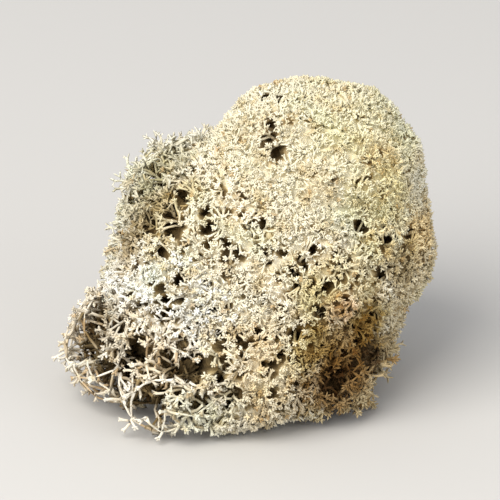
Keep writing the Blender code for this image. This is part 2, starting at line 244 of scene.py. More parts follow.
# Pores that the photograph shows: how far right and up in it from the resting spot, and radius, mm.
PORES = [
    (3.3, 58.8, 1.0), (6.2, 58.3, 0.8), (4.2, 52.7, 0.9), (3.8, 49.9, 1.5),
    (5.5, 47.0, 1.5), (-9.5, 49.2, 1.1), (-17.8, 48.4, 1.1), (-15.7, 47.8, 0.9),
    (-5.5, 38.8, 0.7), (-19.1, 41.4, 1.3), (-14.0, 38.2, 1.3), (-24.0, 34.0, 1.5),
    (-16.2, 34.9, 1.6), (-20.4, 32.4, 1.8), (-15.9, 31.3, 1.8), (-9.1, 34.6, 1.1),
    (-8.4, 31.3, 1.3), (-18.2, 26.8, 1.4), (-13.9, 21.2, 1.1), (-17.3, 16.7, 0.8),
    (-17.9, 13.3, 0.8), (-10.1, 15.1, 0.8), (-7.6, 14.8, 0.8), (-4.5, 15.3, 0.7),
    (-6.1, 9.7, 0.8), (-15.2, 8.7, 0.8), (-26.9, 11.3, 1.7), (-32.8, 6.6, 1.9),
    (-36.5, 3.4, 1.3), (-21.9, 7.2, 2.6), (-11.2, 3.6, 2.8), (-26.9, 2.0, 2.6),
    (-20.5, -6.0, 2.5), (-17.9, -2.6, 1.3), (-14.9, -2.5, 0.8), (-26.4, -5.0, 1.2),
    (-29.6, -4.6, 1.2), (-32.5, -1.2, 1.4), (-3.7, -2.8, 1.6), (-6.4, 0.7, 1.0),
    (-4.8, 2.8, 0.7), (-12.0, -6.5, 1.4), (2.9, 32.1, 1.1), (3.6, 26.5, 0.6),
    (12.9, 27.0, 1.1), (10.5, 25.0, 0.8), (17.6, 23.4, 1.0), (9.3, 22.3, 0.7),
    (15.5, 19.3, 0.9), (22.7, 31.4, 1.5), (26.3, 31.2, 1.2), (27.8, 28.8, 1.2),
    (32.6, 30.2, 1.0), (27.0, 21.9, 1.0), (14.7, 14.7, 1.1), (25.4, 13.7, 1.0),
    (9.4, 9.6, 1.3), (22.4, 8.3, 1.0), (6.4, 6.3, 0.7),
]
PORE_DEPTH = 5.5 * MM  # of their floors, below the stars
PORE_AGE_AND_SHADE = 21 * MM  # of their floors: partly old growth, partly painted shade, as it darkens them to near the dead brown
PORE_RAG = 0.9 * MM  # how far their edges wander
PORE_RAG_SIZE = 1.3 * MM  # of the bends of their edges

# Looser areas: middle and radius in mm, and how much greater the share and size of pores is there.
LOOSE_AREAS = [
    ((-17, -8, 42), 13, 0.5),
    ((-16, -20, 24), 15, 0.1),
    ((2, -27, 26), 15, 0.25),
    ((22, -20, 32), 14, 0.3),
    ((30, -13, 37), 10, 0.5),
    ((-2, -22, 44), 10, 0.2),
    ((-4, 0, 61), 11, 0.3),
    ((1, -31, 18), 10, 0.25),
]

CAMERA_ELEVATION = math.radians(26)
CAMERA_DISTANCE = 1.4
CAMERA_TARGET = Vector((0, 0, 0.030))
HALF_VIEW = 0.052  # from the target to the picture's edge
TO_CAMERA = Vector((0, -math.cos(CAMERA_ELEVATION), math.sin(CAMERA_ELEVATION)))
UP_IN_VIEW = Vector((0, math.sin(CAMERA_ELEVATION), math.cos(CAMERA_ELEVATION)))


def in_metres(crown):
    return crown._replace(
        centre=Vector(crown.centre) * MM,
        radius=crown.radius * MM,
        spacing=crown.spacing * MM,
        style=STYLES[crown.style],
    )


def root_of(crown):
    """Where a podetium stands on its stub, and the direction that it leaves it in."""
    way = (crown.centre - ROOT_MIDDLE).normalized()
    return ROOT_MIDDLE + way * (STUB_REACH + SEAT_GAP), way


def even_ways(count, scatter, rng):
    """Directions spread evenly all round, each strayed by scatter."""
    turn = math.pi * (1 + math.sqrt(5))
    for step in range(count):
        height = 1 - 2 * (step + 0.5) / count
        around = math.sqrt(1 - height**2)
        way = Vector((around * math.cos(turn * step), around * math.sin(turn * step), height))
        way += Vector(rng.normal(0, scatter, 3))
        yield way.normalized()


def surface_at(crown, way):
    """Where a crown's swelling surface lies, in a direction from its centre."""
    swelling = noise.noise((crown.centre + way * crown.radius) / LUMP_SIZE)
    return crown.centre + way * crown.radius * (1 + LUMP_HEIGHT * swelling)


def turned_in(place, way):
    """Whether a surface there that faces this way has turned in towards the roots."""
    return (place - ROOT_MIDDLE).normalized().dot(way) < STEEPEST


def crown_places(crown, others, spacing, scatter, depth, rng):
    """Places of stars all over what shows of a crown, at a depth below its swelling surface."""
    count = round(4 * math.pi * crown.radius**2 / (spacing**2 * math.sqrt(3) / 2))
    places = []
    for way in even_ways(count, scatter * spacing / crown.radius, rng):
        surface = surface_at(crown, way)
        hidden = any(
            (surface - other.centre).length < other.radius * CROWN_MARGIN for other in others
        )
        place = surface - way * depth
        low = place.z < FLOOR_CLEARANCE + depth
        if not (hidden or low or turned_in(place, way)):
            places.append((place, way))
    return places


def looseness(place):
    """How much greater the share and size of pores is at a place."""
    return max(
        amount * max(0, 1 - ((place - Vector(middle) * MM).length / (radius * MM)) ** 2)
        for middle, radius, amount in LOOSE_AREAS
    )


def in_pore(place):
    """How far a place is inside a pore that the photograph shows, which goes in from the front."""
    ragged = PORE_RAG * noise.noise(place / PORE_RAG_SIZE)
    return ragged + max(
        radius * MM - math.hypot(place.x - right * MM, place.dot(UP_IN_VIEW) - up * MM)
        for right, up, radius in PORES
    )


def in_seen_pore(place, way):
    """Whether growth there, on the side of its crown that way says, would hide a photographed pore."""
    return way.dot(TO_CAMERA) > 0 and in_pore(place) > 0


def axes_across(way):
    """Two directions square to way and to each other, so that they and way are right-handed."""
    helper = Vector((0, 0, 1)) if abs(way.z) < 0.9 else Vector((1, 0, 0))
    first = helper.cross(way).normalized()
    return first, way.cross(first)


def leaning(way, lean, around):
    """The direction at an angle lean from way, at an angle around round it."""
    first, second = axes_across(way)
    aside = math.cos(around) * first + math.sin(around) * second
    return math.cos(lean) * way + math.sin(lean) * aside


def angle_round(way, lean):
    """The angle of a direction round way, as axes_across counts it."""
    first, second = axes_across(way)
    return math.atan2(lean.dot(second), lean.dot(first))


def drawn(span, rng):
    """A whole number from a span's first to its last, picked at random."""
    return int(rng.integers(span[0], span[1] + 1))


def middle_of(points):
    return sum(points, Vector()) / len(points)


def spread_of(points):
    """The root mean square distance of points from their middle."""
    middle = middle_of(points)
    return math.sqrt(sum((point - middle).length_squared for point in points) / len(points))


class Stem:
    """A stem ends at place, in a fork that stems stand on or, where it is a finger, in its tip."""

    def __init__(self, place, stems=()):
        self.place = place
        self.stems = list(stems)
        self.size = sum(stem.size for stem in self.stems) or 1
        self.age = 0
        self.bend = None
        if self.stems:
            above = [stem.age + (stem.place - place).length for stem in self.stems]
            self.age = sum(above) / len(above)


def sectors(stars, way, count):
    """Deals stars into equal sectors round way, turned to where the sectors come out roundest."""
    middle = middle_of(stars)
    stars = sorted(stars, key=lambda star: angle_round(way, star - middle))
    best = None
    for shift in range(math.ceil(len(stars) / count)):
        turned = stars[shift:] + stars[:shift]
        ends = [len(stars) * part // count for part in range(count + 1)]
        dealt = [turned[start:end] for start, end in itertools.pairwise(ends)]
        spread = sum(spread_of(part) ** 2 * len(part) for part in dealt)
        if best is None or spread < best[0]:
            best = spread, dealt
    return best[1]


def fork_place(stars, parent):
    """Where the stem from parent forks: below its stars, but always a good way on from parent."""
    rise = middle_of(stars) - parent
    back = min(FORK_DEPTH * spread_of(stars), (1 - SHORTEST_RISE) * rise.length)
    return parent + rise.normalized() * (rise.length - back)


def star_stem(place, parent, star, rng):
    """The last stem below a star, with the star's fingers."""
    way = (place - parent).normalized()
    count = drawn(star.fingers, rng)
    start = rng.uniform(0, math.tau)
    tips = []
    for finger in range(count):
        around = start + math.tau * (finger + rng.uniform(-STAR_VARIES, STAR_VARIES)) / count
        lean = STAR_LEAN * rng.uniform(1 - STAR_VARIES, 1 + STAR_VARIES)
        reach = star.length * MM * rng.uniform(1 - STAR_VARIES, 1 + STAR_VARIES)
        tips.append(place + reach * leaning(way, lean, around))
    return Stem(place, [Stem(tip) for tip in tips])


def fine_branch(places, parent, star, rng):
    """The stem from parent that carries stars at these places."""
    if len(places) == 1:
        return star_stem(places[0], parent, star, rng)
    place = fork_place(places, parent)
    count = min(len(places), drawn(FINE_FORKS, rng))
    parts = sectors(places, (place - parent).normalized(), count)
    return Stem(place, [fine_branch(part, place, star, rng) for part in parts])


def main_branch(hubs, parent, groups, forks, star, rng):
    """The stem from parent that carries these stars of the solid, each regrown from its group.

    It notes in forks where each of the solid's stars grows from.
    """
    if len(hubs) == 1:
        hub = tuple(hubs[0])
        forks[hub] = parent
        return fine_branch(groups[hub], parent, star, rng) if hub in groups else None
    place = fork_place(hubs, parent)
    count = min(len(hubs), 4 if len(hubs) >= FOUR_FROM else 3)
    parts = sectors(hubs, (place - parent).normalized(), count)
    stems = [main_branch(part, place, groups, forks, star, rng) for part in parts]
    stems = [stem for stem in stems if stem]
    return Stem(place, stems) if stems else None


def eased(angles):
    """Angles in rising order, each moved half of the way to its place in an even round."""
    step = math.tau / len(angles)
    offsets = [angle - step * i for i, angle in enumerate(angles)]
    start = math.atan2(sum(map(math.sin, offsets)), sum(map(math.cos, offsets)))
    away = [(offset - start + math.pi) % math.tau - math.pi for offset in offsets]
    return [start + step * i + away[i] / 2 for i in range(len(angles))]


def mid_angle(before, after):
    """Half of the way round from one angle to the next."""
    return before + (after - before) % math.tau / 2


def even_angles(count):
    return [math.tau * side / count for side in range(count)]


class Skin:
    """The points and faces that grow over branches, with each point's age and tint."""

    def __init__(self, style, blunt, rng):
        self.finger = style.finger * MM
        self.blunt = blunt
        self.thinnest = style.stem * MM
        self.rng = rng
        self.points = []
        self.faces = []
        self.ages = []
        self.tints = []
        self.long_stems = []

    def point(self, place, age, tint):
        self.points.append(Vector((place.x, place.y, max(place.z, LOWEST))))
        self.ages.append(age)
        self.tints.append(tint)
        return len(self.points) - 1

    def ring(self, centre, way, radius, angles, age, tint):
        first, second = axes_across(way)
        outs = [math.cos(angle) * first + math.sin(angle) * second for angle in angles]
        return [self.point(centre + radius * out, age, tint) for out in outs]

    def band(self, low, high):
        """Joins two rings, which may differ in their number of points, by the shorter diagonals."""
        points = self.points
        _, at_low, at_high = min(
            ((points[one] - points[other]).length_squared, i, j)
            for i, one in enumerate(low)
            for j, other in enumerate(high)
        )
        low = low[at_low:] + low[: at_low + 1]
        high = high[at_high:] + high[: at_high + 1]
        i = j = 0
        while i < len(low) - 1 or j < len(high) - 1:
            up = down = math.inf
            if i < len(low) - 1:
                up = (points[low[i + 1]] - points[high[j]]).length_squared
            if j < len(high) - 1:
                down = (points[low[i]] - points[high[j + 1]]).length_squared
            if up <= down:
                self.faces.append((low[i], low[i + 1], high[j]))
                i += 1
            else:
                self.faces.append((low[i], high[j + 1], high[j]))
                j += 1

    def grow_finger(self, base, tip, age, tint):
        """A finger from its base to its tip."""
        apex = self.point(tip, age, tint)
        if not self.blunt:
            self.faces.extend((*pair, apex) for pair in zip(base, base[1:] + base[:1]))
            return
        foot = middle_of([self.points[corner] for corner in base])
        rise = tip - foot
        middle = foot + rise * BLUNT_AT
        ring = []
        for corner in base:
            out = self.points[corner] - foot
            out = (out - out.project(rise)).normalized()
            ring.append(self.point(middle + out * self.finger, age + rise.length * BLUNT_AGEING, tint))
        for i, corner in enumerate(base):
            after = (i + 1) % len(base)
            self.faces.append((corner, base[after], ring[after], ring[i]))
            self.faces.append((ring[i], ring[after], apex))

    def fork_bases(self, stem, way, radius, age, tint):
        """The ring at the end of a stem, and the part of it that each stem on it grows from."""
        facing = [angle_round(way, upper.place - stem.place) for upper in stem.stems]
        if len(facing) > 2:
            facing = eased(facing)
            corners = [mid_angle(*pair) for pair in zip(facing[-1:] + facing, facing)]
            ring = self.ring(stem.place, way, radius, corners, age, tint)
            axil = self.point(stem.place + way * radius * AXIL_RISE, age + AXIL_AGEING, tint)
            return ring, [[*pair, axil] for pair in zip(ring, ring[1:] + ring[:1])]
        if len(facing) == 2:
            near = facing[0]
            corners = [near - math.pi / 2, near, near + math.pi / 2, near + math.pi]
            ring = self.ring(stem.place, way, radius, corners, age, tint)
            return ring, [ring[0:3], [ring[2], ring[3], ring[0]]]
        ring = self.ring(stem.place, way, radius, even_angles(3), age, tint)
        return ring, [ring]

    def grow(self, stem, parent, start_age, base, youngest, tint):
        """Skins a stem from the ring base, which lies round parent, and then all that stands on it."""
        if not stem.stems:
            self.grow_finger(base, stem.place, youngest, tint)
            return
        rise = stem.place - parent
        way = rise.normalized()
        age = stem.age + youngest
        radius = self.thinnest * stem.size**STEM_GROWTH
        if not stem.stems[0].stems:
            youngest += self.rng.uniform(0, STAR_AGEING)
            tint = max(-1, min(1, tint + self.rng.normal(0, STAR_TINT)))
        if rise.length > LONG_STEM:
            base = self.grow_long(stem, parent, start_age, base, radius, age, tint)
        stem.stems.sort(key=lambda upper: angle_round(way, upper.place - stem.place))
        ring, bases = self.fork_bases(stem, way, radius, age, tint)
        self.band(base, ring)
        for upper, upper_base in zip(stem.stems, bases):
            self.grow(upper, stem.place, age, upper_base, youngest, tint)

    def grow_long(self, stem, parent, start_age, base, radius, age, tint):
        """Skins the bent, round length of a long stem, and gives the ring at its end."""
        rise = stem.place - parent
        way = rise.normalized()
        bend = leaning(way, math.pi / 2, self.rng.uniform(0, math.tau)) * rise.length * STEM_BEND
        bend = stem.bend or bend
        for share in STEM_RINGS:
            centre = parent.lerp(stem.place, share) + bend * math.sin(math.pi * share)
            ring_age = start_age + (age - start_age) * share
            ring = self.ring(centre, way, radius * WAIST, even_angles(STEM_SIDES), ring_age, tint)
            self.band(base, ring)
            base = ring
        if rise.length > SIDE_FROM:
            self.long_stems.append((parent, stem.place, bend, start_age, age))
        return base

    def grow_from(self, root, way, stem, radius, youngest, tint):
        """Skins a branch from a closed foot at its root."""
        age = stem.age + (stem.place - root).length + youngest
        foot = self.ring(root, way, radius, even_angles(STEM_SIDES), age, tint)
        self.faces.append(tuple(reversed(foot)))
        self.grow(stem, root, age, foot, youngest, tint)

    def grow_link(self, one, other, bend):
        """Skins a bent branch of a web, which is as old at its one end as at the other."""
        link = Stem(other, [Stem(other + bend)])
        link.bend = bend
        way = (other - one).normalized()
        foot = self.ring(one, way, WEB_STEM, even_angles(STEM_SIDES), link.age, 0)
        self.faces.append(tuple(reversed(foot)))
        self.grow(link, one, link.age, foot, WEB_AGE, self.rng.uniform(-1, 1))

    def grow_sides(self, crown):
        """Side branches all along the long stems that have grown so far."""
        for start, end, bend, start_age, end_age in list(self.long_stems):
            rise = end - start
            for _ in range(round(rise.length / (crown.style.sides * MM))):
                share = self.rng.uniform(*SIDE_SPAN)
                foot = start.lerp(end, share) + bend * math.sin(math.pi * share)
                self.grow_side(crown, foot, rise, start_age + (end_age - start_age) * share)

    def grow_side(self, crown, foot, rise, age):
        """A side branch from its foot on a long stem, if any of its stars has room."""
        rng = self.rng
        lean = math.radians(rng.uniform(*SIDE_LEAN))
        way = leaning(rise.normalized(), lean, rng.uniform(0, math.tau))
        most = min(SIDE_REACH[1], max(SIDE_REACH[0], rise.length * SIDE_SHARE))
        reach = rng.uniform(SIDE_REACH[0], most)
        places = [
            foot + reach * (way + Vector(rng.normal(0, SIDE_SPREAD, 3)))
            for _ in range(max(1, round(reach / SIDE_STARS_EVERY)))
        ]
        places = [
            place
            for place in places
            if place.z > FLOOR_CLEARANCE
            and (place - crown.centre).length < crown.radius - SIDE_INSIDE
            and not in_seen_pore(place, place - crown.centre)
        ]
        if places:
            branch = fine_branch(places, foot, SIDE_STAR, rng)
            youngest = age * crown.style.ageing
            self.grow_from(foot, way, branch, self.thinnest, youngest, rng.uniform(-1, 1))


def placed(name, data):
    """A new object in the scene."""
    made = bpy.data.objects.new(name, data)
    bpy.context.scene.collection.objects.link(made)
    return made


def add_values(mesh, name, values):
    """Gives each point of a mesh a value that its material can read."""
    mesh.attributes.new(name, "FLOAT", "POINT").data.foreach_set("value", values)


def mesh_object(name, skin):
    mesh = bpy.data.meshes.new(name)
    mesh.from_pydata(skin.points, [], skin.faces)
    mesh.polygons.foreach_set("use_smooth", np.ones(len(mesh.polygons), bool))
    add_values(mesh, "growth", np.array(skin.ages, np.float32) / MM)
    add_values(mesh, "tint", np.array(skin.tints, np.float32))
    return placed(name, mesh)


def tree_of(points):
    near = KDTree(len(points))
    for index, point in enumerate(points):
        near.insert(point, index)
    near.balance()
    return near


class Cover:
    """How a crown's surface runs round the ends of its main stems, and where it opens."""

    def __init__(self, crown, others, hubs, rng):
        self.crown = crown
        self.others = others
        self.hubs = tree_of(hubs)
        self.links = self.links_between(hubs, rng) if crown.style.web else []
        along = [
            one.lerp(other, step) + bend * math.sin(math.pi * step)
            for one, other, bend in self.links
            for step in np.arange(0, 1, WEB_STEP / (other - one).length)
        ]
        self.web = tree_of(along)
        self.pores, self.radii = self.pores_on(rng) if crown.style.pores else (None, None)

    def links_between(self, hubs, rng):
        """The branches of a web: the two ends of each, and its bend."""
        pairs = set()
        for index, hub in enumerate(hubs):
            near = self.hubs.find_n(hub, WEB_LINKS + 1)
            kept = [i for _, i, distance in near if 0 < distance < WEB_REACH]
            kept = [i for rank, i in enumerate(kept) if rank == 0 or rng.random() < WEB_KEPT]
            pairs.update((min(index, i), max(index, i)) for i in kept)
        links = []
        for one, other in sorted(pairs):
            middle = (hubs[one] + hubs[other]) / 2
            out = middle - self.crown.centre
            if in_seen_pore(middle, out):
                continue
            bend = out.normalized() * (hubs[one] - hubs[other]).length * WEB_BEND
            links.append((hubs[one], hubs[other], bend))
        return links

    def pores_on(self, rng):
        """Where pores open on the crown, as a tree, and their radii."""
        pores = self.crown.style.pores
        centres = []
        radii = []
        spacing = pores.spacing * MM
        for place, _ in crown_places(self.crown, self.others, spacing, PORE_SCATTER, 0, rng):
            loose = max(looseness(place), LOOSER_BY * self.nearness(place, True))
            if rng.random() < pores.share + loose:
                centres.append(place)
                radii.append(pores.radius * MM * rng.uniform(*PORE_VARIES) * (1 + loose))
        return tree_of(centres), radii

    def nearness(self, place, webbed):
        """How near a place is to the next crown that has a web, or has none: from 0 to 1."""
        away = [
            (place - other.centre).length - other.radius
            for other in self.others
            if bool(other.style.web) == webbed
        ]
        return min(1, max(0, 1 - min(away) / CHANGE_REACH))

    def opening(self, place, way):
        """How far a place on the surface is inside an opening, or below 0, how far from one.

        The pores of the photograph aren't among these openings.
        """
        if self.crown.style.web:
            wider = WIDER_BY * self.nearness(place, False)
            inside = self.web.find(place)[2] - self.crown.style.web * MM - wider
            if self.crown.style.laced and way.dot(TO_CAMERA) > 0:
                inside -= SEEN_CLOSING * way.dot(TO_CAMERA)
            return inside
        _, index, distance = self.pores.find(place)
        return self.radii[index] - distance

    def height(self, place, way, hub):
        """How far the surface rises there over a plain one: in lumps, heads and creases."""
        aside = (place - hub) - (place - hub).project(way)
        sunk = self.crown.style.heads * MM * min(HEAD_EDGE, aside.length / HEAD_RADIUS) ** 2
        height = FINE_LUMP_HEIGHT * noise.noise(place / FINE_LUMP_SIZE) - sunk
        for other in self.others:
            apart = max(0, (place - other.centre).length - other.radius)
            height += CREASE_FILL * max(0, 1 - apart / CREASE) ** 2
        return height


def fine_groups(cover, spacing, depth, rng, all_over=False):
    """Stars outside the crown's openings, or all over it, by the nearest main stem's end."""
    crown = cover.crown
    groups = {}
    for place, way in crown_places(crown, cover.others, spacing * MM, FINE_SCATTER, depth, rng):
        if cover.opening(place, way) > 0 and not all_over:
            continue
        hub, _, distance = cover.hubs.find(place)
        if distance > HUB_REACH:
            continue
        proud = crown.style.proud * MM * (1 + PROUDER * looseness(place))
        height = cover.height(place, way, hub) + min(PROUDEST * proud, rng.exponential(proud))
        place += way * height
        if place.z > FLOOR_CLEARANCE and not in_seen_pore(place, way):
            groups.setdefault(tuple(hub), []).append(place)
    return groups


def pit_share(beyond):
    """How much of a pit's depth or age there is at a place this far beyond where that starts."""
    return min(1, max(0, beyond / PIT_EDGE))


def felt_place(place_on_ball, cover, crumb):
    """Where a point of the dense growth lies, its age, and whether it shows. Its age holds painted
    shade in creases, pits and pores, and in open crowns.
    """
    crown = cover.crown
    style = crown.style
    way = place_on_ball.normalized()
    surface = surface_at(crown, way)
    hub, _, distance = cover.hubs.find(surface)
    inside = cover.opening(surface, way)
    open_share = pit_share(inside + PIT_EDGE)
    # In the open crowns the felt's age, and so its dark brown, is partly painted shade.
    age = style.felt.age * MM
    # Painted shade, with some old growth: in a pit the growth is aged towards the dead brown.
    age += max(0, PIT_AGE_AND_SHADE - age) * pit_share(inside + 2 * PIT_EDGE)
    rough = style.crumbs * MM * (1 + PIT_CRUMBS * open_share)
    lump = rough * (crumb + noise.noise(surface / FELT_LUMP_SIZE))
    height = cover.height(surface, way, hub)
    place = surface + way * (height + lump - (style.felt.depth + style.pit * open_share) * MM)
    covered = max(
        other.radius - other.style.felt.depth * MM - (place - other.centre).length
        for other in cover.others
    )
    hidden = covered >= FELT_OVERLAP or turned_in(place, way)
    shows = not hidden and place.z >= FLOOR_CLEARANCE and distance < HUB_REACH
    shared = max(0, *(other.radius - (surface - other.centre).length for other in cover.others))
    # Painted shade: the growth is older, and so darker, the deeper it lies in a neighbour, in the
    # creases between crowns.
    age += CREASE_SHADE_AGEING * shared
    if way.dot(TO_CAMERA) > 0:
        inside = in_pore(place)
        place -= TO_CAMERA * max(0, PORE_DEPTH - style.felt.depth * MM) * pit_share(inside)
        # Painted shade, with some old growth: the floor of a pore is aged towards the dead brown.
        age = max(age, PORE_AGE_AND_SHADE * pit_share(inside + 2 * PIT_EDGE))
    return place, age, shows


def add_felt(cover, skin, rng):
    """The dense growth below a crown's stars: a crumbly sheet that dips into its openings."""
    shape = bmesh.new()
    growth = shape.verts.layers.float.new("growth")
    bmesh.ops.create_icosphere(shape, subdivisions=FELT_CUTS, radius=1)
    unseen = []
    for vert in shape.verts:
        vert.co, vert[growth], shows = felt_place(vert.co, cover, rng.uniform(-1, 1))
        if not shows:
            unseen.append(vert)
    bmesh.ops.delete(shape, geom=unseen, context="VERTS")
    drop_small_patches(shape)
    indices = {vert: skin.point(vert.co, vert[growth], rng.uniform(-1, 1)) for vert in shape.verts}
    skin.faces.extend(tuple(indices[vert] for vert in face.verts) for face in shape.faces)
    shape.free()


def drop_small_patches(shape):
    """Deletes the patches of a mesh that have fewer than SMALLEST_FELT faces."""
    left = set(shape.faces)
    small = []
    while left:
        patch = {left.pop()}
        edge = list(patch)
        while edge:
            near = {face for side in edge.pop().edges for face in side.link_faces} & left
            left -= near
            patch |= near
            edge.extend(near)
        if len(patch) < SMALLEST_FELT:
            small.extend(patch)
    bmesh.ops.delete(shape, geom=small, context="FACES")


def grow_claws(skin, crown, hubs, rng):
    """Small branches that stand out of the knots of a crown's web."""
    for hub in hubs:
        out = (hub - crown.centre).normalized()
        reach = crown.style.claws * MM * rng.uniform(SHORTEST_CLAW, 1)
        places = [
            hub + reach * (out + Vector(rng.normal(0, CLAW_SPREAD, 3)))
            for _ in range(drawn(CLAWS, rng))
        ]
        places = [place for place in places if place.z > FLOOR_CLEARANCE]
        if places:
            branch = fine_branch(places, hub, crown.style.star, rng)
            skin.grow_from(hub, out, branch, CLAW_STEM, 0, rng.uniform(-1, 1))


def grow_unders(skin, cover, forks, rng):
    """The lower layers of a crown's stars, on branches from below them."""
    style = cover.crown.style
    for under in style.unders:
        groups = fine_groups(cover, under.spacing, under.depth * MM, rng, under.all_over)
        for hub, places in groups.items():
            root = forks[hub] if under.depth < style.felt.depth else middle_of([forks[hub], *places])
            branch = fine_branch(places, root, SIDE_STAR, rng)
            way = (branch.place - root).normalized()
            skin.grow_from(root, way, branch, skin.thinnest, under.age * MM, rng.uniform(-1, 1))


def podetium(number, crowns):
    """One podetium, fine, along its solid's main stems: its crown, and its side branches."""
    crown = crowns[number]
    others = crowns[:number] + crowns[number + 1 :]
    rng = np.random.default_rng(SEED + number)
    coarse = crown_places(crown, others, crown.spacing, SCATTER, STAR_DEPTH, rng)
    hubs = [place for place, _ in coarse]
    style = crown.style
    cover = Cover(crown, others, hubs, rng)
    groups = fine_groups(cover, style.spacing, FINE_DEPTH, rng)
    forks = {}
    root, way = root_of(crown)
    stem = main_branch(hubs, root, groups, forks, style.star, rng)
    skin = Skin(style, True, rng)
    skin.grow_from(root, way, stem, skin.thinnest * stem.size**STEM_GROWTH, 0, 0)
    for link in cover.links:
        skin.grow_link(*link)
    if style.claws:
        grow_claws(skin, crown, hubs, rng)
    sides = Skin(style, False, rng)
    sides.long_stems = skin.long_stems
    sides.grow_sides(crown)
    grow_unders(sides, cover, forks, rng)
    add_felt(cover, sides, rng)
    return mesh_object(crown.name + "_crown", skin), mesh_object(crown.name + "_sides", sides)


def mat():
    """The old base's middle, a lumpy half ball on its flat side."""
    shape = bmesh.new()
    bmesh.ops.create_icosphere(shape, subdivisions=5, radius=MAT_RADIUS)
    for vert in shape.verts:
        lumps = MAT_ROUGHNESS * noise.noise(vert.co / MAT_LUMP)
        grains = MAT_GRAINS * noise.noise(vert.co / MAT_GRAIN)
        vert.co *= 1 + lumps + grains
        vert.co.z *= MAT_HEIGHT / MAT_RADIUS
    bmesh.ops.bisect_plane(
        shape,
        geom=shape.verts[:] + shape.edges[:] + shape.faces[:],
        plane_co=(0, 0, 0),
        plane_no=(0, 0, 1),
        clear_inner=True,
    )
    bmesh.ops.holes_fill(shape, edges=shape.edges)
    bmesh.ops.recalc_face_normals(shape, faces=shape.faces)
    mesh = bpy.data.meshes.new("old_base_mat")
    shape.to_mesh(mesh)
    shape.free()
    add_values(mesh, "growth", np.full(len(mesh.vertices), DEAD_AGE / MM, np.float32))
    return placed("old_base_mat", mesh)


def dead_stems(crowns):
    """The old base's dead stems, which stand out of its mat between the podetia, and its stubs."""
    rng = np.random.default_rng(SEED)
    skin = Skin(STYLES["loose"], False, rng)
    for crown in crowns:
        root, way = root_of(crown)
        stub = Stem(root, [Stem(root + way * STUB_TIP)])
        skin.grow_from(ROOT_MIDDLE, way, stub, STUB_RADIUS, DEAD_AGE, 0)
    for _ in range(DEAD_STEMS):
        rise = rng.uniform(*DEAD_RISE)
        around = rng.uniform(0, math.tau)
        level = math.sqrt(1 - rise**2)
        way = Vector((level * math.cos(around), level * math.sin(around), rise))
        reach = rng.uniform(*DEAD_REACH)
        places = [
            ROOT_MIDDLE + reach * way + Vector(rng.normal(0, DEAD_SPREAD, 3))
            for _ in range(drawn(DEAD_STARS, rng))
        ]
        if min(place.z for place in places) < FLOOR_CLEARANCE:
            continue
        branch = fine_branch(places, ROOT_MIDDLE, SIDE_STAR, rng)
        skin.grow_from(ROOT_MIDDLE, way, branch, DEAD_RADIUS, DEAD_AGE, rng.uniform(-1, 1))
    return mesh_object("old_base_stems", skin)


# How each look runs from its tips, through its stems, to its old growth.
LOOKS = {
    "dome": ((0.88, 0.84, 0.67), (0.80, 0.73, 0.53), (0.46, 0.35, 0.19)),
    "cream": ((0.92, 0.87, 0.71), (0.84, 0.76, 0.57), (0.44, 0.34, 0.18)),
    "olive": ((0.66, 0.55, 0.34), (0.44, 0.34, 0.18), (0.24, 0.16, 0.08)),
    "white": ((0.93, 0.94, 0.90), (0.83, 0.80, 0.71), (0.42, 0.35, 0.21)),
    "spray": ((0.92, 0.88, 0.77), (0.79, 0.72, 0.59), (0.32, 0.24, 0.12)),
    "grey": ((0.87, 0.85, 0.74), (0.62, 0.57, 0.40), (0.26, 0.21, 0.10)),
    "tan": ((0.84, 0.75, 0.53), (0.66, 0.55, 0.35), (0.35, 0.26, 0.14)),
}
DEAD_BROWN = (0.11, 0.075, 0.032)
AGES = (0.0, 4.0, 10.0, 22.0)  # mm below the tips, of a look's colours and then the dead brown

